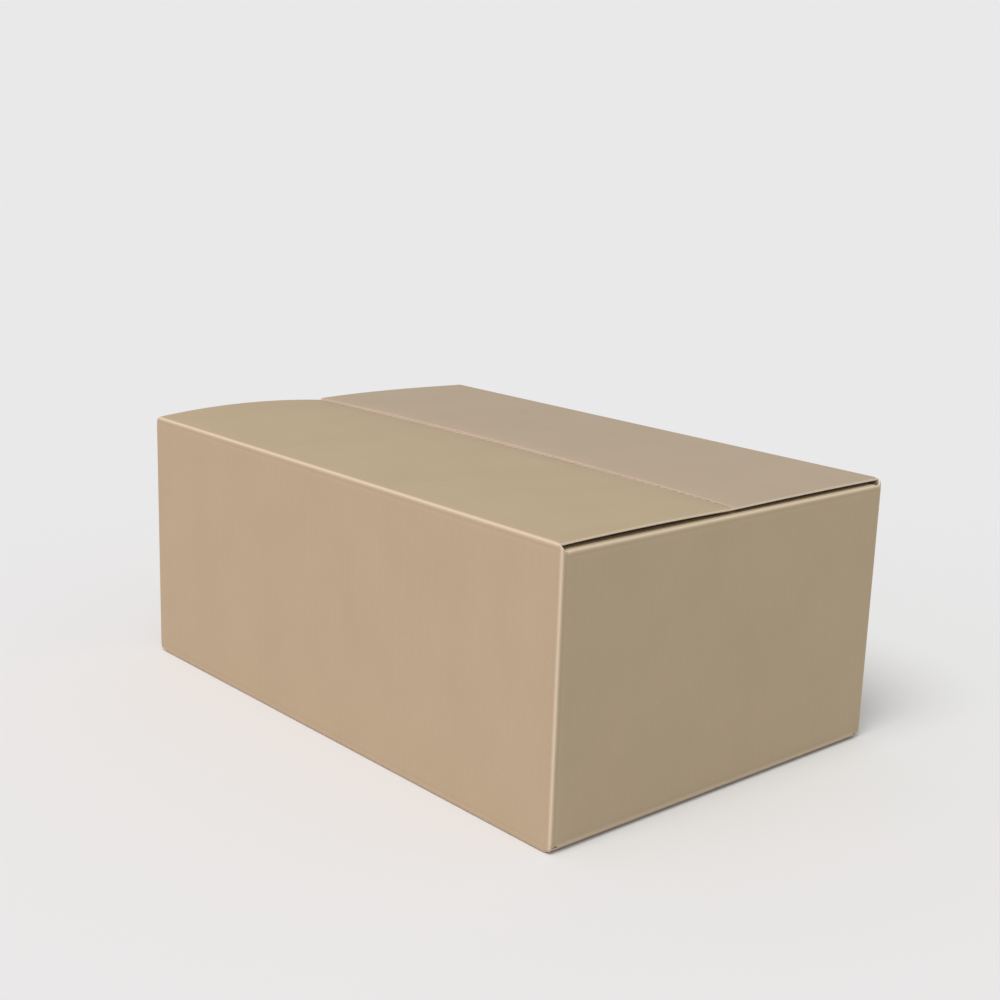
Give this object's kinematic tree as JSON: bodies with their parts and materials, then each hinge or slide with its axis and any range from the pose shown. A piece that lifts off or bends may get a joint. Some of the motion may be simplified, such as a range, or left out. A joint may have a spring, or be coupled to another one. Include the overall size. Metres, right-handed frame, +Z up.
{
  "type": "closed cardboard box",
  "caption": "Plain closed regular slotted carton folded from single-wall corrugated board, with two hinged outer top flaps meeting on a lengthwise seam.",
  "frame": {"origin": "middle of the base, on the surface that the carton stands on", "axes": "+X along the long sides, +Y across to the rear, +Z up"},
  "size_m": [0.48, 0.32, 0.203],
  "materials": {
    "kraft_board": "matte"
  },
  "bodies": {
    "carton": {"carton_body": "kraft_board"},
    "front_flap": {"front_outer_flap": "kraft_board"},
    "rear_flap": {"rear_outer_flap": "kraft_board"}
  },
  "joints": [
    {"name": "front_flap_crease", "type": "hinge", "parent": "carton", "child": "front_flap", "pos_m": [0, -0.16, 0.2], "axis": [1, 0, 0], "range_deg": [0, 255]},
    {"name": "rear_flap_crease", "type": "hinge", "parent": "carton", "child": "rear_flap", "pos_m": [0, 0.16, 0.2], "axis": [-1, 0, 0], "range_deg": [0, 255]}
  ]
}
